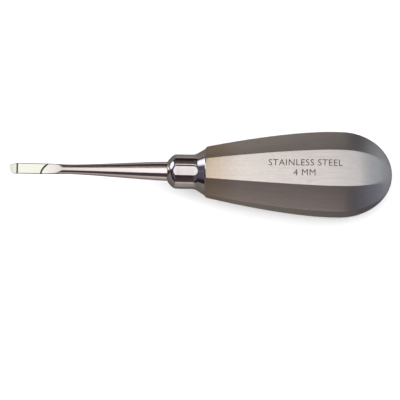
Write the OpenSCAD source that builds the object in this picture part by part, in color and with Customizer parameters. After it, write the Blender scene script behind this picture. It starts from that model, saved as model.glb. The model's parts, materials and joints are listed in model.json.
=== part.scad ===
// Straight dental elevator: a forged working end, a turned neck ferrule and a hollow
// eight-sided handle made of two pressed half-shells. Millimetres, +Z up.
// The tool's axis is X. The blade points to -X and the blade's ground face looks to +Z.
// The origin is on the axis, in the middle of the cylindrical seat on the neck.
// Stations along the tool are distances from the tip of the blade.

/* [Blade] */
// Width of the blade
blade_w = 4; // [3:0.1:5]
// Distance from the tip to the stop groove
blade_len = 11.6; // [9:0.1:13]
// Height of the ground face above the axis
face_z = 0.3; // [0:0.05:0.6]
// Length of the chisel bevel at the tip
bevel_len = 2.4; // [1.5:0.1:3]
// Radius of the rounded corner of the tip
tip_corner_r = 1.8; // [0.5:0.1:1.9]

/* [Shank] */
// Narrowest diameter of the shank, just behind the blade
waist_d = 3.55; // [3.2:0.05:3.9]
// Diameter of the shank where it meets the ferrule
root_d = 7; // [6.4:0.1:7.6]
// Diameter of the tang inside the handle
tang_d = 6; // [4:0.1:6]

/* [Neck ferrule] */
// Diameter of the cylindrical seat
neck_d = 12.6; // [11:0.1:14]
// Length of the cylindrical seat
seat_len = 5.6; // [4:0.1:7]
// Angle of the flare that spreads to the handle
flare_angle = 32; // [25:1:40]
// Radius of the hollow between the seat and the flare
hollow_r = 4; // [2:0.5:6]
// Diameter of the spigot that the half-shells close around
spigot_d = 15.2; // [12:0.1:15.6]

/* [Handle] */
// Corner radius of the eight-sided handle at its widest
handle_r = 16.2; // [14:0.1:18]
// Corner radius lost between the widest part and the shoulder
barrel_drop = 5.9; // [4:0.1:7]
// Length of the elliptical end of the handle
end_len = 19; // [14:0.5:24]
// Wall thickness of the half-shells
wall = 1.2; // [0.8:0.1:1.5]
// Half the angle that a wide facet spans at the widest part
wide_half_angle = 24.5; // [22.5:0.1:26]

/* [Small parts] */
// Diameter of the cross pin that locks the tang
pin_d = 2; // [1.5:0.1:3]
// Diameter of the vent plug in the end of the handle
vent_d = 3; // [2:0.1:4]
// Thickness of the bush that steadies the tang
bush_len = 4; // [3:0.5:6]

/* [Hidden] */

total_len = 140;
root_at = 58;                            // shank root and front face of the ferrule
seat_from = 61;                          // cylindrical seat starts
seat_to = seat_from + seat_len;          // cylindrical seat ends
seat_at = (seat_from + seat_to) / 2;     // the origin
shoulder_at = 72;                        // ferrule ends and half-shells start
spigot_to = 76;
land_from = 117;                         // widest part: a straight land
land_to = total_len - end_len;
bush_at = 97;
tang_to = 104;
pin_at = 74;

waist_at = 22;
gap = 0.02;                              // radial play of the fitted parts
over = 1;                                // cutters reach this far past a surface
big = 20;                                // larger than anything that is cut

facet_parts = 4;                         // strips across a facet, an even number
front_steps = [0, 0.45, 0.9, 1.35, 1.8, 3.6];  // sections around the spigot
end_step = 7.5;                          // degrees between stations on the end
end_last = 82.5;
barrel_from = 75.2;                      // barrel_drop is measured here
vent_r = vent_d / 2;
socket_r = spigot_d / 2 + 0.05;
regular_half_angle = 22.5;
round_from = 126;                        // facets start to melt into the round end
round_to = 138;
round_factor = 0.97;                     // round end against the corner radius

function smooth(t) = t * t * (3 - 2 * t);
function limit(t) = min(1, max(0, t));

// ---------- shapes on the tool's axis ----------

// Stands a turned shape, drawn as [radius, station] points, on the tool's axis.
module turned(outline) {
    translate([-seat_at, 0, 0])
        rotate([0, 90, 0])
            rotate_extrude($fn = 96)
                polygon(outline);
}

// A round bar or cutter along the axis between two stations.
module bar(d, from, to) {
    translate([from - seat_at, 0, 0])
        rotate([0, 90, 0])
            cylinder(d = d, h = to - from, $fn = 64);
}

// ---------- working end ----------

function shank_ease(t) = (t + smooth(t)) / 2;
function shank_r(s) =
    (waist_d + (root_d - waist_d) * shank_ease((s - waist_at) / (root_at - waist_at))) / 2;

shank_steps = 12;
neck_of_blade_r = (waist_d + 0.25) / 2;
neck_of_blade_at = 18.5;

blank_outline = concat(
    [[0, 0], [blade_w / 2, 0], [blade_w / 2, blade_len + 1.4],
     [neck_of_blade_r, neck_of_blade_at]],
    [for (i = [0 : shank_steps])
        let (s = waist_at + (root_at - waist_at) * i / shank_steps)
        [shank_r(s), s]],
    [[tang_d / 2 - gap, root_at], [tang_d / 2 - gap, tang_to - 1],
     [tang_d / 2 - 1, tang_to], [0, tang_to]]);

bevel_top = -0.35;                       // the bevel starts this high, after the step
bevel_edge = -1.25;                      // height of the cutting edge
step_len = 0.45;
groove_r = 0.3;
groove_turn = 35;                        // the grinding wheel came in at a slant
groove_run = 0.9;                        // middle of the groove behind blade_len
scoop_r = 8.3;

// Grinds the flat face, the chisel bevel and its step into the front of the blank.
module face_grinding() {
    translate([-seat_at - over, 0, 0])
        rotate([90, 0, 0])
            translate([0, 0, -big / 2])
                linear_extrude(big)
                    polygon([[0, bevel_edge], [over, bevel_edge],
                             [over + bevel_len, bevel_top],
                             [over + bevel_len + step_len, face_z],
                             [over + blade_len + groove_run, face_z],
                             [over + blade_len, big], [0, big]]);
}

// A round wheel leaves this scoop where the blade runs out into the round shank.
module scoop() {
    translate([blade_len + groove_run - seat_at, 0, face_z + scoop_r])
        rotate([90, 0, -groove_turn])
            cylinder(r = scoop_r, h = big, center = true, $fn = 128);
}

module stop_groove() {
    translate([blade_len + groove_run - seat_at, 0, face_z + groove_r * 0.35])
        rotate([90, 0, -groove_turn])
            cylinder(r = groove_r, h = big, center = true, $fn = 32);
}

// Thins the underside of the blade towards the cutting edge.
module underside_grinding() {
    translate([-seat_at - over, 0, 0])
        rotate([90, 0, 0])
            translate([0, 0, -big / 2])
                linear_extrude(big)
                    polygon([[0, bevel_edge - 0.25], [over + blade_len, -blade_w / 2 - 0.01],
                             [over + blade_len, -big], [0, -big]]);
}

// Rounds one corner of the cutting edge, on the -Y side.
module tip_corner() {
    translate([-seat_at, -blade_w / 2, -big / 2])
        linear_extrude(big)
            difference() {
                translate([-over, -over])
                    square(over + tip_corner_r);
                translate([tip_corner_r, tip_corner_r])
                    circle(r = tip_corner_r, $fn = 48);
            }
}

module working_end() {
    color("gainsboro")
        difference() {
            turned(blank_outline);
            face_grinding();
            scoop();
            stop_groove();
            underside_grinding();
            tip_corner();
            pin_hole();
        }
}

// ---------- neck ferrule ----------

neck_r = neck_d / 2;
front_r = 4.05;                          // edge of the small front face
chamfer_at = 59.5;
chamfer_r = neck_r - 0.55;
flare_slope = tan(flare_angle);
shoulder_r = corner_radius(shoulder_at) * cos(regular_half_angle);
flare_foot = shoulder_at - (shoulder_r - neck_r) / flare_slope;
hollow_from = flare_foot - hollow_r * tan(flare_angle / 2);

function flare_r(s) = shoulder_r + (s - shoulder_at) * flare_slope;

ferrule_outline = concat(
    [[tang_d / 2, root_at], [front_r, root_at], [chamfer_r, chamfer_at],
     [neck_r - 0.2, chamfer_at + 0.6], [neck_r, seat_from]],
    [for (a = [0 : 4 : flare_angle])
        [neck_r + hollow_r * (1 - cos(a)), hollow_from + hollow_r * sin(a)]],
    [[shoulder_r, shoulder_at], [spigot_d / 2, shoulder_at],
     [spigot_d / 2, spigot_to], [tang_d / 2, spigot_to]]);

module neck_ferrule() {
    color("silver")
        difference() {
            turned(ferrule_outline);
            pin_hole();
        }
}

// The fillet of brazing alloy where the shank's root meets the ferrule's front face.
module braze_ring() {
    fillet = 0.45;
    root_r = shank_r(root_at - fillet);
    color("khaki")
        turned(concat(
            [[root_r, root_at]],
            [for (a = [0 : 30 : 90])
                [root_r + fillet * (1 - sin(a)), root_at - fillet * (1 - cos(a))]]));
}

// ---------- pin, bush and plug ----------

module across(d, len) {
    translate([pin_at - seat_at, 0, 0])
        rotate([90, 0, 0])
            cylinder(d = d, h = len, center = true, $fn = 48);
}

module pin_hole() {
    across(pin_d + gap, big);
}

module cross_pin() {
    color("dimgray")
        across(pin_d, 2 * sqrt(pow(spigot_d / 2, 2) - pow(pin_d / 2, 2)) - gap);
}

// An eight-sided bush that fills the handle around the tang's rear end.
module tang_bush() {
    r_front = inner_flat(bush_at) / cos(regular_half_angle);
    r_rear = inner_flat(bush_at + bush_len) / cos(regular_half_angle);
    color("slategray")
        difference() {
            translate([bush_at - seat_at, 0, 0])
                rotate([0, 90, 0])
                    rotate([0, 0, regular_half_angle])
                        cylinder(r1 = r_front, r2 = r_rear, h = bush_len, $fn = 8);
            bar(tang_d, bush_at - over, bush_at + bush_len + over);
        }
}

module vent_plug() {
    plug_r = vent_d / 2 - gap;
    color("gray")
        turned([[0, total_len - wall - 0.4], [plug_r, total_len - wall - 0.4],
                [plug_r, total_len - 0.1], [plug_r * 0.7, total_len], [0, total_len]]);
}

// ---------- hollow handle ----------

// Corner radius of the barrel: a bellied front, a straight land and an elliptical end.
function corner_radius(s, inset = 0) =
    s <= land_from
        ? handle_r - inset
            - barrel_drop * pow((land_from - s) / (land_from - barrel_from), 1.5)
        : s <= land_to
            ? handle_r - inset
            : (handle_r - inset)
                * sqrt(max(0, 1 - pow((s - land_to) / (end_len - inset), 2)));

function wide_at(s) =
    regular_half_angle + (wide_half_angle - regular_half_angle)
        * limit((s - shoulder_at) / (land_from - shoulder_at));

function inner_flat(s) = corner_radius(s, wall) * cos(wide_at(s)) - gap;

// Radius of an eight-sided section whose corner radius is 1, in direction a from +Z.
function facet_factor(a, half) =
    let (off = abs(a - 90 * round(a / 90)))
    off <= half ? cos(half) / cos(off) : cos(45 - half) / cos(45 - off);

function roundness(s) = pow(limit((s - round_from) / (round_to - round_from)), 2);

function free_r(s, a, inset) =
    let (corner = corner_radius(s, inset), blend = roundness(s))
    corner * (facet_factor(a, wide_at(s)) * (1 - blend) + round_factor * blend);

// Directions of the points across one half of a section, from -Y over +Z to +Y.
function half_angles(half) =
    [for (i = [0 : facet_parts / 2]) -90 + half * i * 2 / facet_parts,
     for (i = [1 : facet_parts]) -90 + half + (90 - 2 * half) * i / facet_parts,
     for (i = [1 : facet_parts]) -half + 2 * half * i / facet_parts,
     for (i = [1 : facet_parts]) half + (90 - 2 * half) * i / facet_parts,
     for (i = [1 : facet_parts / 2]) 90 - half + half * i * 2 / facet_parts];

function outer_half(s) =
    [for (a = half_angles(wide_at(s)))
        let (r = max(vent_r, min(free_r(s, a, 0), flare_r(s))))
        [s - seat_at, r * sin(a), r * cos(a)]];

function inner_half(s) =
    [for (a = half_angles(wide_at(s)))
        let (r = max(vent_r, free_r(s, a, wall)))
        [s - seat_at, r * sin(a), r * cos(a)]];

// A round half section, for the socket of the spigot.
function round_half(s, r) =
    [for (a = half_angles(wide_at(s))) [s - seat_at, r * sin(a), r * cos(a)]];

barrel_steps = 9;
function barrel_stations(from) =
    [for (i = [1 : barrel_steps]) from + (land_from - from) * i / barrel_steps];
function end_stations(length) =
    [for (a = [end_step : end_step : end_last]) land_to + length * sin(a)];

// The outside of a half-shell, from the shoulder to the vent hole.
outside = concat(
    [for (f = front_steps) outer_half(shoulder_at + f)],
    [outer_half(spigot_to + wall / 3)],
    [for (s = barrel_stations(spigot_to + wall / 3)) outer_half(s)],
    [outer_half(land_to)],
    [for (s = end_stations(end_len)) outer_half(s)],
    [outer_half(total_len - gap)]);

// The inside, with as many sections: the socket of the spigot, then the cavity.
inside = concat(
    [for (f = front_steps) round_half(shoulder_at + f, socket_r)],
    [inner_half(spigot_to)],
    [for (s = barrel_stations(spigot_to)) inner_half(s)],
    [inner_half(land_to)],
    [for (s = end_stations(end_len - wall)) inner_half(s)],
    [inner_half(total_len - wall)]);

function reversed(list) = [for (i = [len(list) - 1 : -1 : 0]) list[i]];

// The half-shell above the tool's middle plane, as one closed skin that runs along the
// outside and back along the inside; the lower one is its mirror image.
module half_shell() {
    loop = concat(outside, reversed(inside));
    across_n = len(loop[0]);
    loop_n = len(loop);
    side_n = len(outside);
    strips = [for (k = [0 : loop_n - 1])
        for (i = [0 : across_n - 2])
            let (next = (k + 1) % loop_n,
                 a = k * across_n + i,
                 b = next * across_n + i)
            each [[a, b + 1, b], [a, a + 1, b + 1]]];
    // The two flat seams, between the outside and the inside.
    seams = [for (k = [0 : side_n - 2])
        let (out_a = k * across_n,
             out_b = out_a + across_n,
             in_a = (loop_n - 1 - k) * across_n,
             in_b = in_a - across_n,
             far = across_n - 1)
        each [[out_b, in_a, out_a], [out_b, in_b, in_a],
              [out_a + far, in_b + far, out_b + far],
              [out_a + far, in_a + far, in_b + far]]];
    polyhedron(points = [for (s = loop) each s], faces = concat(strips, seams));
}

module handle_shell_upper() {
    color("lightgray")
        half_shell();
}

module handle_shell_lower() {
    color("darkgray")
        mirror([0, 0, 1])
            half_shell();
}

working_end();
braze_ring();
neck_ferrule();
cross_pin();
tang_bush();
handle_shell_upper();
handle_shell_lower();
vent_plug();
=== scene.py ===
"""Dental elevator: ground blade and round shank, mirror-polished neck, satin eight-sided handle.

Stations are millimetres from the tip of the blade along the tool's axis, which is X.
Heights and widths are millimetres from that axis. The frame itself is in metres.
"""
import json
from math import acos, cos, exp, pi, radians, sin, sqrt, tan

import bmesh
import bpy
from mathutils import Matrix, Vector


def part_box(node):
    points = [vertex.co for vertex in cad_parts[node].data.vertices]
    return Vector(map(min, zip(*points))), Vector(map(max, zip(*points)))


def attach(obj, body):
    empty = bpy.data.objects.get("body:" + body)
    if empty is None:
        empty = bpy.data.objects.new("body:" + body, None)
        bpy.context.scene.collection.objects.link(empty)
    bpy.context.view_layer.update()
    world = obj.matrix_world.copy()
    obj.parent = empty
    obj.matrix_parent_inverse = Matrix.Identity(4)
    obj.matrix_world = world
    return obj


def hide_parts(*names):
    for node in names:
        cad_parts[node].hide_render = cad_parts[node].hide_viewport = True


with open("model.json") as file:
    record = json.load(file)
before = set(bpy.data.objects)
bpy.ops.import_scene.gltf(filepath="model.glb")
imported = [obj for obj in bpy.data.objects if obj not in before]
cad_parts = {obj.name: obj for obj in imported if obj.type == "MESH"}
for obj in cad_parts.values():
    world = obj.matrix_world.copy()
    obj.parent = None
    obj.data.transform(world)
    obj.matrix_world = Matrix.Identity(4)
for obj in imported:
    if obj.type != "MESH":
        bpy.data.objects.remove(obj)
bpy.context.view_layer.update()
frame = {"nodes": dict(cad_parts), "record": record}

MM = 0.001

# ---------- sizes taken from the frame ----------

mounts = {mount["name"]: mount for mount in frame["record"]["mounts"]}
tip_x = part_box("working_end")[0][0]
root_at = (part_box("neck_ferrule")[0][0] - tip_x) / MM
shoulder_at = (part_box("handle_shell_upper")[0][0] - tip_x) / MM
butt_at = (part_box("vent_plug")[1][0] - tip_x) / MM
neck_r = mounts["neck_seat"]["dims"]["r_mm"]
rest_at = (mounts["rest_facet"]["pos_m"][0] - tip_x) / MM
rest_depth = -mounts["rest_facet"]["pos_m"][2] / MM
vent_r = (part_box("vent_plug")[1][1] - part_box("vent_plug")[0][1]) / 2 / MM


def limit(value, low=0.0, high=1.0):
    return max(low, min(high, value))


def smooth(t):
    return t * t * (3 - 2 * t)


def spot(station, y, z):
    """A point of the frame, from a station and two distances from the axis."""
    return Vector((tip_x + station * MM, y * MM, z * MM))


# ---------- building meshes ----------

def loft(sections):
    """A closed solid through rings of points: one ring is drawn, then extruded on."""
    bm = bmesh.new()
    ring = bmesh.ops.create_circle(bm, segments=len(sections[0]), radius=MM)["verts"]
    loop = bm.edges[:]
    bmesh.ops.edgeloop_fill(bm, edges=loop)
    for vert, place in zip(ring, sections[0]):
        vert.co = place
    for section in sections[1:]:
        made = bmesh.ops.extrude_edge_only(bm, edges=loop)["geom"]
        fresh = {part for part in made if isinstance(part, bmesh.types.BMVert)}
        loop = [part for part in made
                if isinstance(part, bmesh.types.BMEdge) and set(part.verts) <= fresh]
        onward = {edge.other_vert(vert): vert
                  for vert in fresh for edge in vert.link_edges
                  if edge.other_vert(vert) not in fresh}
        ring = [onward[vert] for vert in ring]
        for vert, place in zip(ring, section):
            vert.co = place
    bmesh.ops.edgeloop_fill(bm, edges=loop)
    bmesh.ops.recalc_face_normals(bm, faces=bm.faces)
    return bm


def turned(outline, steps=128):
    """A turned shape from [station, radius] points, spun about the axis."""
    bm = bmesh.new()
    verts = [bm.verts.new(spot(station, 0, radius)) for station, radius in outline]
    ends = list(zip(verts, verts[1:]))
    if outline[0][1] > 0:
        ends.append((verts[-1], verts[0]))
    for a, b in ends:
        bm.edges.new((a, b))
    bmesh.ops.spin(bm, geom=bm.verts[:] + bm.edges[:], cent=(0, 0, 0), axis=(1, 0, 0),
                   angle=2 * pi, steps=steps, use_merge=True, use_duplicate=False)
    bmesh.ops.remove_doubles(bm, verts=bm.verts, dist=0.001 * MM)
    bmesh.ops.recalc_face_normals(bm, faces=bm.faces)
    return bm


def piece(name, bm, materials, nodes, sharp=32):
    """Puts a finished mesh into the scene as a piece that stands for its CAD nodes."""
    mesh = bpy.data.meshes.new(name)
    for face in bm.faces:
        face.smooth = True
    bm.to_mesh(mesh)
    bm.free()
    mesh.set_sharp_from_angle(angle=radians(sharp))
    for material in materials:
        mesh.materials.append(material)
    obj = bpy.data.objects.new(name, mesh)
    bpy.context.scene.collection.objects.link(obj)
    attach(obj, "root")
    if nodes:
        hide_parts(*nodes)
    return obj


# ---------- materials ----------

def tone(code):
    """A linear colour from an sRGB hex code."""
    parts = [int(code[i:i + 2], 16) / 255 for i in (0, 2, 4)]
    return tuple(c / 12.92 if c <= 0.04045 else ((c + 0.055) / 1.055) ** 2.4
                 for c in parts) + (1.0,)


def add(tree, kind, inputs=None, **settings):
    """One node with its settings, its values and its links."""
    node = tree.nodes.new(kind)
    for key, value in settings.items():
        setattr(node, key, value)
    for name, value in (inputs or {}).items():
        socket = next(entry for entry in node.inputs if entry.name == name and entry.enabled)
        if isinstance(value, bpy.types.NodeSocket):
            tree.links.new(value, socket)
        else:
            socket.default_value = value
    return node


def mixed(node):
    """The colour that a Mix node gives: its other outputs are switched off."""
    return next(entry for entry in node.outputs if entry.enabled)


def blank(name):
    """An empty material: its node tree and the point on the object."""
    material = bpy.data.materials.new(name)
    material.use_nodes = True
    tree = material.node_tree
    tree.nodes.clear()
    return material, tree, add(tree, "ShaderNodeTexCoord").outputs["Object"]


def finish(tree, inputs):
    shader = add(tree, "ShaderNodeBsdfPrincipled", inputs)
    add(tree, "ShaderNodeOutputMaterial", {"Surface": shader.outputs["BSDF"]})


def streaks(tree, place, length, pitch, detail=2.0):
    """Noise drawn out along the tool, from the length and pitch of one line in mm."""
    stretched = add(tree, "ShaderNodeMapping", {
        "Vector": place,
        "Scale": (1 / (length * MM), 1 / (pitch * MM), 1 / (pitch * MM))})
    return add(tree, "ShaderNodeTexNoise", {
        "Vector": stretched.outputs["Vector"], "Scale": 1.0, "Detail": detail,
        "Roughness": 0.6}).outputs["Fac"]


def spread(tree, value, low, high):
    """Spreads noise, which keeps near its middle, over a range."""
    return add(tree, "ShaderNodeMapRange", {
        "Value": value, "From Min": 0.3, "From Max": 0.7,
        "To Min": low, "To Max": high}).outputs["Result"]


def ramp(tree, value, stops):
    """Colours along a value, from [position, hex] stops."""
    node = add(tree, "ShaderNodeValToRGB", {"Fac": value})
    bar = node.color_ramp.elements
    while len(bar) < len(stops):
        bar.new(0.5)
    for element, (position, code) in zip(bar, stops):
        element.position = position
        element.color = tone(code)
    return node.outputs["Color"]


def along(tree, place, first, last):
    """0 at one station and 1 at another."""
    parts = add(tree, "ShaderNodeSeparateXYZ", {"Vector": place})
    return add(tree, "ShaderNodeMapRange", {
        "Value": parts.outputs["X"],
        "From Min": tip_x + first * MM, "From Max": tip_x + last * MM}).outputs["Result"]


def satin_brushed_stainless():
    """Stainless steel brushed along the handle with a fine belt: soft reflections, fine
    lengthwise lines, a straw heat tint near the brazed neck, and on the rounded butt a painted
    darker band followed by a painted pale bluish reflection."""
    material, tree, place = blank("satin_brushed_stainless")
    # The belt's own lines are about 0.05 mm apart; they are drawn coarser so that they show.
    fine = streaks(tree, place, 14, 0.22, 3)
    broad = streaks(tree, place, 60, 1.6)
    # Colour along the handle: a straw heat tint at the front; the stops from 0.84 on paint a
    # darker band and then a pale bluish reflection onto the rounded butt.
    tint_and_painted_reflection = ramp(tree, along(tree, place, shoulder_at, butt_at), [
        (0.0, "d2c1a6"), (0.07, "dccdba"), (0.18, "e9e2da"), (0.65, "d6d1ce"),
        (0.84, "c3bfbe"), (0.94, "dcdde0"), (1.0, "dcdee2")])
    worn = add(tree, "ShaderNodeMix", {
        "Factor": spread(tree, broad, 0.0, 0.14), "A": tint_and_painted_reflection, "B": tone("a79e99")},
        data_type="RGBA")
    lined = add(tree, "ShaderNodeMix", {
        "Factor": spread(tree, fine, 0.0, 0.22), "A": mixed(worn),
        "B": tone("8f8682")}, data_type="RGBA")
    dents = add(tree, "ShaderNodeBump", {
        "Height": fine, "Strength": 0.25, "Distance": 0.01 * MM})
    finish(tree, {
        "Base Color": mixed(lined), "Metallic": 1.0,
        "Roughness": spread(tree, fine, 0.33, 0.43),
        "Normal": dents.outputs["Normal"]})
    return material


def mirror_polished_stainless():
    """Stainless steel buffed to a mirror: sharp reflections, with a trace of wiping marks."""
    material, tree, place = blank("mirror_polished_stainless")
    haze = add(tree, "ShaderNodeTexNoise", {
        "Vector": place, "Scale": 1 / (3 * MM), "Detail": 3.0}).outputs["Fac"]
    body = ramp(tree, spread(tree, haze, 0.0, 1.0), [(0.0, "dcd7d6"), (1.0, "cfc9c9")])
    finish(tree, {
        "Base Color": body, "Metallic": 1.0, "Roughness": spread(tree, haze, 0.03, 0.07)})
    return material


def polished_forged_stainless():
    """A forged shank polished lengthwise: near-mirror, with hair-fine lines along it, and
    paler where the blade is ground."""
    material, tree, place = blank("polished_forged_stainless")
    hair = streaks(tree, place, 9, 0.12)
    body = ramp(tree, along(tree, place, 0, root_at), [
        (0.0, "cbcec4"), (0.05, "dddfd2"), (0.07, "e2e3d6"), (0.2, "e2e2d8"), (0.34, "d2cbc8"),
        (1.0, "f2eae7")])
    dents = add(tree, "ShaderNodeBump", {
        "Height": hair, "Strength": 0.2, "Distance": 0.004 * MM})
    finish(tree, {
        "Base Color": body, "Metallic": 1.0, "Roughness": spread(tree, hair, 0.1, 0.17),
        "Normal": dents.outputs["Normal"]})
    return material


def painted_shade_stainless():
    """Rough, unpolished steel whose dark colour is painted shade: the step and the stop groove
    show as fine dark lines on the bright blade."""
    material, tree, place = blank("painted_shade_stainless")
    painted_shade_mottle = add(tree, "ShaderNodeTexNoise", {
        "Vector": place, "Scale": 1 / (0.3 * MM), "Detail": 2.0}).outputs["Fac"]
    # Painted shade: dark, faintly mottled colours that stand for the shade in the step and the
    # groove.
    body = ramp(tree, spread(tree, painted_shade_mottle, 0.0, 1.0), [(0.0, "383a31"), (1.0, "55574b")])
    finish(tree, {
        "Base Color": body, "Metallic": 1.0, "Roughness": spread(tree, painted_shade_mottle, 0.4, 0.55)})
    return material


def silver_brazing_alloy():
    """Silver brazing alloy, wiped and buffed: yellower than steel, slightly uneven."""
    material, tree, place = blank("silver_brazing_alloy")
    grain = add(tree, "ShaderNodeTexNoise", {
        "Vector": place, "Scale": 1 / (0.4 * MM), "Detail": 3.0}).outputs["Fac"]
    body = ramp(tree, spread(tree, grain, 0.0, 1.0), [(0.0, "d2cabc"), (1.0, "b9b0a1")])
    finish(tree, {
        "Base Color": body, "Metallic": 1.0, "Roughness": spread(tree, grain, 0.18, 0.32)})
    return material


def turned_stainless():
    """Stainless steel straight from the lathe: rings around the axis, inside the handle."""
    material, tree, place = blank("turned_stainless")
    feed = add(tree, "ShaderNodeTexWave", {
        "Vector": place, "Scale": 1 / (2 * MM), "Distortion": 0.4},
        wave_type="BANDS", bands_direction="X").outputs["Fac"]
    body = ramp(tree, feed, [(0.0, "b5b2b0"), (1.0, "c9c6c4")])
    finish(tree, {
        "Base Color": body, "Metallic": 1.0, "Roughness": spread(tree, feed, 0.3, 0.42)})
    return material


def laser_marked_oxide():
    """The dark oxide that a marking laser leaves on steel: dull, brown-black, faintly mottled."""
    material, tree, place = blank("laser_marked_oxide")
    mottle = add(tree, "ShaderNodeTexNoise", {
        "Vector": place, "Scale": 1 / (0.5 * MM), "Detail": 2.0}).outputs["Fac"]
    body = ramp(tree, spread(tree, mottle, 0.0, 1.0), [(0.0, "2a2322"), (1.0, "393130")])
    finish(tree, {
        "Base Color": body, "Metallic": 0.0, "Roughness": spread(tree, mottle, 0.55, 0.7)})
    return material


satin = satin_brushed_stainless()
mirror = mirror_polished_stainless()
polished = polished_forged_stainless()
painted_shade = painted_shade_stainless()
braze = silver_brazing_alloy()
lathe = turned_stainless()
oxide = laser_marked_oxide()

# ---------- working end ----------

blade_r = 2.0
face_z = 0.3
waist_from, waist_at, waist_r = 13.0, 22.0, 1.775
root_r = 3.5
bevel_len, bevel_top, bevel_edge = 2.4, -0.4, -1.1
step_len = 0.7
tip_thickness, underside_fall = 0.25, 0.5
corner_r = 1.8
stop_from, stop_run = 11.4, 2.8
scoop_turn, scoop_at = radians(12), 12.8
scoop_slope, scoop_bend = 0.1, 0.022     # of its floor, in front and per mm further back
groove_depth, groove_width = 0.28, 0.27
edge_break = 0.38                        # the ground face's long edges are stoned round


def shank_radius(s):
    """Radius of the round forging: straight blade, waist, then a cone to the root."""
    if s <= waist_from:
        return blade_r
    if s <= waist_at:
        t = (s - waist_from) / (waist_at - waist_from)
        return blade_r + (waist_r - blade_r) * smooth(t)
    t = (s - waist_at) / (root_at - waist_at)
    return waist_r + (root_r - waist_r) * (t + smooth(t)) / 2


def bevel_height(s):
    """Height of the ground face: chisel bevel, step, then flat."""
    if s <= bevel_len:
        return bevel_edge + (bevel_top - bevel_edge) * s / bevel_len
    return bevel_top + (face_z - bevel_top) * smooth(limit((s - bevel_len) / step_len))


def edge_drop(s, inside):
    """How far the broken edge falls, this far inside the side of the blade."""
    edge_r = edge_break * limit(0.3 + s / 4)
    outward = limit(1 - inside / edge_r)
    return edge_r * (1 - sqrt(1 - outward ** 2))


def past_stop(s, y):
    """Distance behind the middle of the slanted, curved stop groove."""
    return s - stop_from - stop_run * limit((y + blade_r) / (2 * blade_r)) ** 2


def ground_height(s, y):
    """Height of the ground surface: face, stop groove and the scoop behind it."""
    run = (s - scoop_at) * cos(scoop_turn) - y * sin(scoop_turn)
    height = bevel_height(s)
    if run > 0:
        height += scoop_slope * run + scoop_bend * run ** 2
    return height - groove_depth * exp(-(past_stop(s, y) / groove_width) ** 2)


def blade_section(s, top_parts=40, round_parts=44):
    """One ring of the working end: over the ground top, then round the underside."""
    r = shank_radius(s)
    edge = bevel_height(s)
    half_width = r if edge >= 0 else sqrt(r * r - edge * edge)
    start = pi / 2 if edge >= 0 else acos(edge / r)
    underside = bevel_edge - tip_thickness - underside_fall * s / stop_from
    lowest = underside if s < stop_from else -r
    points = []
    for i in range(top_parts):
        y = half_width * cos(pi * i / top_parts)
        ground = ground_height(s, y) - edge_drop(s, half_width - abs(y))
        points.append((y, min(ground, sqrt(max(0.0, r * r - y * y)))))
    for i in range(round_parts):
        turn = start + (2 * pi - 2 * start) * i / round_parts
        points.append((-r * sin(turn), max(lowest, r * cos(turn))))
    if s < corner_r:
        side = blade_r - corner_r + sqrt(corner_r ** 2 - (corner_r - s) ** 2)
        points = [(max(y, -side), z) for y, z in points]
    return [spot(s, y, z) for y, z in points]


def spaced(first, last, step):
    """Stations about one step apart, without the last one."""
    count = max(1, round((last - first) / step))
    return [first + (last - first) * i / count for i in range(count)]


blade_stations = (spaced(0, 2.2, 0.15) + spaced(2.2, 3.1, 0.08) + spaced(3.1, 10.8, 0.7)
                  + spaced(10.8, 14.8, 0.07) + spaced(14.8, 21, 0.2)
                  + spaced(21, root_at, 1.5) + [root_at + 0.4])


def darken_lines(bm):
    """Gives the riser of the step and the floor of the stop groove the dark painted shade."""
    bm.normal_update()
    for face in bm.faces:
        middle = face.calc_center_median()
        s, y = (middle.x - tip_x) / MM, middle.y / MM
        on_step = 0.1 < (s - bevel_len) / step_len < 0.9
        in_groove = abs(past_stop(s, y)) < groove_width * 1.1
        if face.normal.z > 0.2 and (on_step or in_groove):
            face.material_index = 1
    return bm


piece("working_end", darken_lines(loft([blade_section(s) for s in blade_stations])),
      [polished, painted_shade], ["working_end"], sharp=24)

# ---------- neck ferrule, braze ring and vent plug ----------

barrel_from, barrel_drop = 75.2, 5.9
land_from, land_to = rest_at - 2, rest_at + 2
regular_half, wide_half = 22.5, 24.5
handle_r = rest_depth / cos(radians(wide_half))
end_len = butt_at - land_to
flare_slope = tan(radians(32))
hollow_r = 4.0
bore_r = 3.3                             # the shank passes through the ferrule and the shells
seam_ahead = 0.6                         # the visible shells start this far up the flare


def corner_radius(s):
    if s <= land_from:
        return handle_r - barrel_drop * ((land_from - s) / (land_from - barrel_from)) ** 1.5
    return handle_r * sqrt(max(0.0, 1 - (max(0.0, s - land_to) / end_len) ** 2))


shoulder_r = corner_radius(shoulder_at) * cos(radians(regular_half))


def flare_radius(s):
    return shoulder_r + (s - shoulder_at) * flare_slope


flare_foot = shoulder_at - (shoulder_r - neck_r) / flare_slope
hollow_from = flare_foot - hollow_r * tan(radians(16))
shells_from = shoulder_at - seam_ahead

chamfer = [(root_at, bore_r), (root_at, 4.0), (root_at + 0.06, 4.1), (root_at + 0.75, 4.93),
           (root_at + 1.4, 5.6)]
rounding_len, rounding_drop = 1.44, 0.7  # from the chamfer to the straight barrel
rounding = [(root_at + 1.4 + rounding_len * sin(radians(a)) / sin(radians(45)),
             neck_r - rounding_drop + rounding_drop * sin(radians(2 * a)))
            for a in range(6, 46, 3)]
hollow = [(hollow_from + hollow_r * sin(radians(a)), neck_r + hollow_r * (1 - cos(radians(a))))
          for a in range(0, 33, 2)]
piece("neck_ferrule",
      turned(chamfer + rounding + hollow
             + [(shells_from, flare_radius(shells_from)), (shells_from, bore_r)]),
      [mirror], ["neck_ferrule"], sharp=28)

fillet = 0.45
piece("braze_ring",
      turned([(root_at, root_r - 0.05)]
             + [(root_at - fillet * (1 - cos(radians(a))),
                 root_r + fillet * (1 - sin(radians(a)))) for a in range(0, 91, 10)]),
      [braze], ["braze_ring"])

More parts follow.
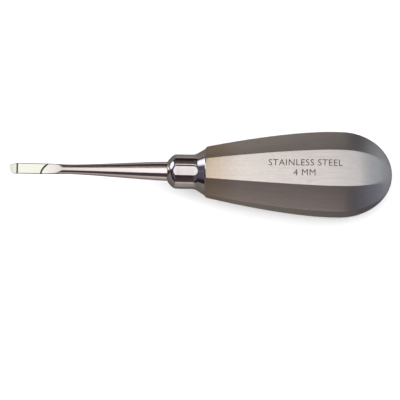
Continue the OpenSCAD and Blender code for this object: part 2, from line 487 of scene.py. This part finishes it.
piece("vent_plug",
      turned([(butt_at - 1.6, 0), (butt_at - 1.6, vent_r), (butt_at - 0.11, vent_r),
              (butt_at - 0.07, vent_r - 0.06), (butt_at - 0.02, vent_r * 0.5), (butt_at, 0)]),
      [satin], ["vent_plug"])

# ---------- handle shells ----------

crest_r = 0.42                           # the crests between the facets are just broken
round_from, round_to = 129.5, 139.6
round_factor = 0.97
shell_wall = 1.0
arc_parts = 5
facet_stops = (0.04, 0.14, 0.26, 0.38, 0.5, 0.62, 0.74, 0.86, 0.96)
crown = 0.1                              # the belt leaves each facet slightly crowned


def half_angle(s):
    return radians(regular_half + (wide_half - regular_half)
                   * limit((s - shoulder_at) / (land_from - shoulder_at)))


def half_section(s):
    """The upper half of the rounded eight-sided section, from -Y over +Z to +Y."""
    corner = corner_radius(s)
    blend = limit((s - round_from) / (round_to - round_from)) ** 3
    round_r = corner * round_factor
    wide = corner * cos(half_angle(s)) * (1 - blend) + round_r * blend
    narrow = corner * cos(pi / 4 - half_angle(s)) * (1 - blend) + round_r * blend
    fillet_r = crest_r * (1 - blend) + round_r * blend
    arcs = []
    for k in range(-2, 2):
        first, last = (wide, narrow) if k % 2 == 0 else (narrow, wide)
        turn = k * pi / 4
        a, b = first - fillet_r, last - fillet_r
        side = (b - a * cos(pi / 4)) / sin(pi / 4)
        centre = (a * sin(turn) + side * cos(turn), a * cos(turn) - side * sin(turn))
        arcs.append([(centre[0] + fillet_r * sin(turn + pi / 4 * i / arc_parts),
                      centre[1] + fillet_r * cos(turn + pi / 4 * i / arc_parts))
                     for i in range(arc_parts + 1)])
    points = [(-wide, 0.0)]
    for k, arc in enumerate(arcs):
        if k:
            (y0, z0), (y1, z1) = arcs[k - 1][-1], arc[0]
            out = (k - 2) * pi / 4
            for t in facet_stops:
                rise = 4 * t * (1 - t) * crown * (1 - blend)
                points.append((y0 + (y1 - y0) * t + rise * sin(out),
                               z0 + (z1 - z0) * t + rise * cos(out)))
        points += arc
    return points + [(wide, 0.0)]


def facet_start(line):
    """The station where one line of the facets crosses the flare, found by halving."""
    low, high = shells_from, shells_from + 6
    for _ in range(40):
        middle = (low + high) / 2
        y, z = half_section(middle)[line]
        if sqrt(y * y + z * z) > flare_radius(middle):
            low = middle
        else:
            high = middle
    return high


line_count = len(half_section(shoulder_at))
crossings = [facet_start(line) for line in range(line_count)]
front_swing = 0.4                        # how much of the flare's curve the facets' front keeps
starts = [min(crossings) + (crossing - min(crossings)) * front_swing for crossing in crossings]
rim_run, rim_rise = 0.4, 0.8             # the facets' front edge is broken: steep, then flat
barrel_parts, end_parts = 30, 30
last_turn = acos(vent_r / (handle_r * round_factor))


def shell_section(outer_stations, slant):
    """One closed ring of a half-shell: along the outside, and back along the inside."""
    outside, inside = [], []
    for line, s in enumerate(outer_stations):
        y, z = half_section(s)[line]
        outside.append((s, y, z))
        r = max(1e-6, sqrt(y * y + z * z))
        inner_r = max(vent_r, r - shell_wall * cos(slant))
        inside.append((s - shell_wall * sin(slant), y * inner_r / r, z * inner_r / r))
    return [spot(*point) for point in outside + inside[::-1]]


def flare_section(s):
    """The ring of a half-shell that still lies on the round flare."""
    outside, inside = [], []
    for line in range(line_count):
        y, z = half_section(s)[line]
        r = sqrt(y * y + z * z)
        outside.append((s, y * flare_radius(s) / r, z * flare_radius(s) / r))
        inside.append((s, y * (flare_radius(s) - shell_wall) / r,
                       z * (flare_radius(s) - shell_wall) / r))
    return [spot(*point) for point in outside + inside[::-1]]


def half_shell():
    """The upper shell, from its end on the flare to the vent in the butt."""
    flare, front = flare_section(shells_from), shell_section(starts, 0)
    rim = [Vector((a.x + (b.x - a.x) * rim_run, a.y + (b.y - a.y) * rim_rise,
                   a.z + (b.z - a.z) * rim_rise)) for a, b in zip(flare, front)]
    sections = [flare, rim, front]
    for k in range(1, barrel_parts + 1):
        t = (k / barrel_parts) ** 1.15
        sections.append(shell_section([a + (land_from - a) * t for a in starts], 0))
    sections.append(shell_section([land_to] * line_count, 0))
    for k in range(1, end_parts + 1):
        turn = last_turn * k / end_parts
        sections.append(shell_section([land_to + end_len * sin(turn)] * line_count, turn))
    return loft(sections)


def polish_flare(bm):
    """Gives the faces of the flare, in front of the facets, the mirror finish."""
    first_ring = tip_x + (shells_from + 0.01) * MM
    for face in bm.faces:
        if min(vert.co.x for vert in face.verts) < first_ring:
            face.material_index = 1
    return bm


piece("handle_shell_upper", polish_flare(half_shell()), [satin, mirror],
      ["handle_shell_upper"], sharp=14)
lower = polish_flare(half_shell())
bmesh.ops.transform(lower, matrix=Matrix.Scale(-1, 4, (0, 0, 1)), verts=lower.verts)
bmesh.ops.recalc_face_normals(lower, faces=lower.faces)
piece("handle_shell_lower", lower, [satin, mirror],
      ["handle_shell_lower"], sharp=14)

# ---------- marking ----------

marking_size = 3.35
oxide_rise = 0.008


def marking(name, words, size, station, y):
    """Generic words lasered into the upper facet, laid on its slope."""
    curve = bpy.data.curves.new(name, "FONT")
    curve.body = words
    curve.size = size * MM
    curve.align_x, curve.align_y = "CENTER", "CENTER"
    curve.space_character = 1.08
    curve.extrude = 0.01 * MM
    curve.resolution_u = 4
    source = bpy.data.objects.new(name + "_source", curve)
    mesh = bpy.data.meshes.new_from_object(source)
    bpy.data.objects.remove(source)
    bpy.data.curves.remove(curve)
    bm = bmesh.new()
    bm.from_mesh(mesh)
    bpy.data.meshes.remove(mesh)
    bmesh.ops.remove_doubles(bm, verts=bm.verts, dist=0.0005 * MM)
    for vert in bm.verts:
        s = station + vert.co.x / MM
        flat = corner_radius(s) * cos(half_angle(s))
        across = y + vert.co.y / MM
        rise = crown * (1 - (across / (corner_radius(s) * sin(half_angle(s)))) ** 2)
        vert.co = spot(s, across, flat + rise + oxide_rise + vert.co.z / MM)
    piece(name, bm, [oxide], [])


marking("marking_upper", "STAINLESS STEEL", marking_size, 107.9, 1.7)
marking("marking_lower", "4 MM", marking_size, 107.7, -2.0)

# ---------- hidden CAD nodes ----------

for name in ("cross_pin", "tang_bush"):
    node = frame["nodes"][name]
    node.data.materials.clear()
    node.data.materials.append(lathe)

# ---------- studio ----------

def studio_paper():
    """Matt white paper, faintly uneven, for the floor."""
    material, tree, place = blank("studio_paper")
    cloud = add(tree, "ShaderNodeTexNoise", {
        "Vector": place, "Scale": 12.0, "Detail": 2.0}).outputs["Fac"]
    body = ramp(tree, cloud, [(0.0, "f6f6f6"), (1.0, "fbfbfb")])
    finish(tree, {"Base Color": body, "Roughness": 0.9, "Specular IOR Level": 0.1})
    return material


def floor():
    """A wide floor that curves up at its rim, under the handle's lowest facet."""
    bm = bmesh.new()
    floor_z = -(rest_depth + crown) * MM
    outline = [(0.0, 0.0), (1.8, 0.0)]
    outline += [(1.8 + 0.6 * sin(radians(a)), 0.6 - 0.6 * cos(radians(a)))
                for a in range(10, 91, 10)]
    outline.append((2.4, 2.2))
    verts = [bm.verts.new((r, 0, floor_z + z)) for r, z in outline]
    for a, b in zip(verts, verts[1:]):
        bm.edges.new((a, b))
    bmesh.ops.spin(bm, geom=bm.verts[:] + bm.edges[:], cent=(0, 0, 0), axis=(0, 0, 1),
                   angle=2 * pi, steps=96, use_merge=True, use_duplicate=False)
    bmesh.ops.remove_doubles(bm, verts=bm.verts, dist=1e-6)
    bmesh.ops.recalc_face_normals(bm, faces=bm.faces)
    mesh = bpy.data.meshes.new("floor")
    for face in bm.faces:
        face.smooth = True
    bm.to_mesh(mesh)
    bm.free()
    mesh.materials.append(studio_paper())
    obj = bpy.data.objects.new("floor", mesh)
    obj.visible_glossy = False           # the metal mirrors the dimmer room instead
    bpy.context.scene.collection.objects.link(obj)


def room_light():
    """The room that the metal mirrors: the floor's grey below, dark walls on both sides of
    the tool and ahead of its tip, a pale wall beyond its butt, and a window past its tip."""
    world = bpy.data.worlds.new("room")
    bpy.context.scene.world = world
    world.use_nodes = True
    tree = world.node_tree
    tree.nodes.clear()
    way = add(tree, "ShaderNodeTexCoord").outputs["Generated"]
    parts = add(tree, "ShaderNodeSeparateXYZ", {"Vector": way})
    height = add(tree, "ShaderNodeMapRange", {
        "Value": parts.outputs["Z"], "From Min": -1.0, "From Max": 1.0}).outputs["Result"]
    behind = ramp(tree, height, [
        (0.0, "6c6763"), (0.12, "7c7773"), (0.25, "aaa4a0"), (0.45, "aca6a2"), (0.46, "e6dad4"),
        (0.525, "e0d4ce"), (0.545, "7a6a66"), (0.62, "52464a"), (1.0, "33282b")])
    across = ramp(tree, height, [
        (0.0, "6c6763"), (0.46, "aaa4a0"), (0.48, "2c2224"), (0.65, "2e2424"),
        (0.72, "5e4f4b"), (1.0, "6a5c58")])
    ahead = ramp(tree, height, [
        (0.0, "6c6763"), (0.46, "8c8782"), (0.48, "2c2226"), (0.56, "2c2226"),
        (0.66, "605c68"), (1.0, "5c5962")])
    beyond = ramp(tree, height, [
        (0.0, "98999b"), (0.44, "a9abac"), (0.5, "a0a6a6"), (0.6, "c0c3c8"), (1.0, "c8cbd0")])

    def towards(axis, start, end, near, far):
        """Turns from one wall to another as the direction swings along an axis."""
        factor = add(tree, "ShaderNodeMapRange", {
            "Value": parts.outputs[axis], "From Min": start, "From Max": end})
        return mixed(add(tree, "ShaderNodeMix", {
            "Factor": factor.outputs["Result"], "A": near, "B": far}, data_type="RGBA"))

    walls = towards("Y", -0.3, 0.3, behind, across)
    walls = towards("X", -0.1, -0.5, walls, ahead)
    walls = towards("X", 0.1, 0.22, walls, tone("504f54"))
    walls = towards("X", 0.32, 0.56, walls, towards("Y", 0.0, -0.5, beyond, tone("7e808a")))
    window_way, window_light = Vector((-0.88, 0.44, 0.08)), (1.7, 1.7, 1.85, 1.0)
    facing = add(tree, "ShaderNodeVectorMath", {"Vector": way}, operation="DOT_PRODUCT")
    facing.inputs[1].default_value = window_way.normalized()
    window = add(tree, "ShaderNodeMapRange", {
        "Value": facing.outputs["Value"], "From Min": 0.94, "From Max": 0.975})
    walls = mixed(add(tree, "ShaderNodeMix", {
        "Factor": window.outputs["Result"], "A": walls, "B": window_light},
        data_type="RGBA"))
    back = add(tree, "ShaderNodeBackground", {"Color": walls, "Strength": 1.0})
    add(tree, "ShaderNodeOutputWorld", {"Surface": back.outputs["Background"]})


def softbox(name, place, size, power, shape="RECTANGLE", target=(0.01, 0, 0)):
    """A flat light that faces its target; the camera doesn't see it."""
    light = bpy.data.lights.new(name, "AREA")
    light.shape = shape
    light.size, light.size_y = size
    light.energy = power
    obj = bpy.data.objects.new(name, light)
    obj.location = place
    obj.rotation_euler = (Vector(target) - Vector(place)).to_track_quat("-Z", "Y").to_euler()
    obj.visible_camera = False
    bpy.context.scene.collection.objects.link(obj)
    return obj


def camera(azimuth=0.0, elevation=80.2, roll=1.2, distance=1.6, width=0.1463):
    """A long lens that looks down on the tool."""
    lens = bpy.data.cameras.new("camera")
    lens.sensor_width = 36
    lens.lens = 36 * distance / width
    lens.clip_end = 20
    obj = bpy.data.objects.new("camera", lens)
    az, el = radians(azimuth), radians(elevation)
    aim = spot(69.9, -10.4, 0)
    away = Vector((sin(az) * cos(el), -cos(az) * cos(el), sin(el)))
    obj.location = aim + away * distance
    turn = (-away).to_track_quat("-Z", "Y").to_matrix().to_4x4()
    obj.matrix_world = (Matrix.Translation(obj.location) @ turn
                        @ Matrix.Rotation(radians(roll), 4, "Z"))
    bpy.context.scene.collection.objects.link(obj)
    bpy.context.scene.camera = obj


floor()
room_light()
softbox("overhead_box", (-0.2, -0.035, 0.55), (1.7, 0.65), 3.05, "ELLIPSE", (-0.2, -0.035, 0))
softbox("side_strip", (0.0, 0.48, 0.56), (1.4, 0.06), 0.3)
fill = softbox("floor_fill", (0.0, 0.0, 1.2), (2.0, 2.0), 26)
fill.visible_glossy = False              # it only whitens the floor
camera()
bpy.context.scene.view_settings.view_transform = "Standard"
